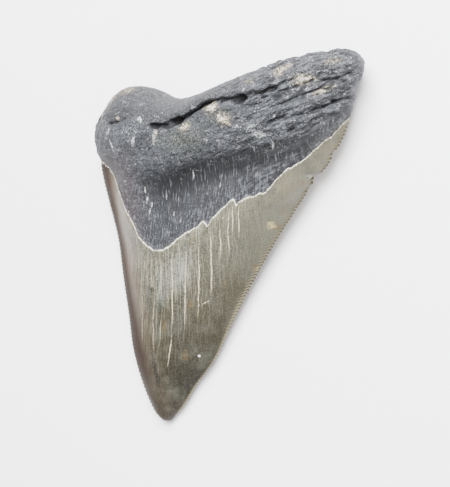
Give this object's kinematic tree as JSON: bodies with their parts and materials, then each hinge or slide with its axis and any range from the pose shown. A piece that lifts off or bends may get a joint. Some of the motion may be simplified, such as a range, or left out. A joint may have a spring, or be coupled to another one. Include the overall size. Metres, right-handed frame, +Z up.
{
  "type": "megalodon tooth",
  "caption": "Fossil shark tooth: broad triangular crown with serrated cutting edges, a V-shaped enamel margin and a thick two-lobed root, lying on its flat face.",
  "frame": {"origin": "centre of the tooth's box in plan, on the surface that it lies on", "axes": "+Z up, out of the domed lingual face; +Y from the tip to the root; +X from the short lobe to the long lobe"},
  "size_m": [0.0875, 0.111, 0.0255],
  "materials": {
    "tooth": "polished enamel crown, dull grey root"
  },
  "bodies": {
    "root": {"tooth": "tooth"}
  },
  "joints": []
}
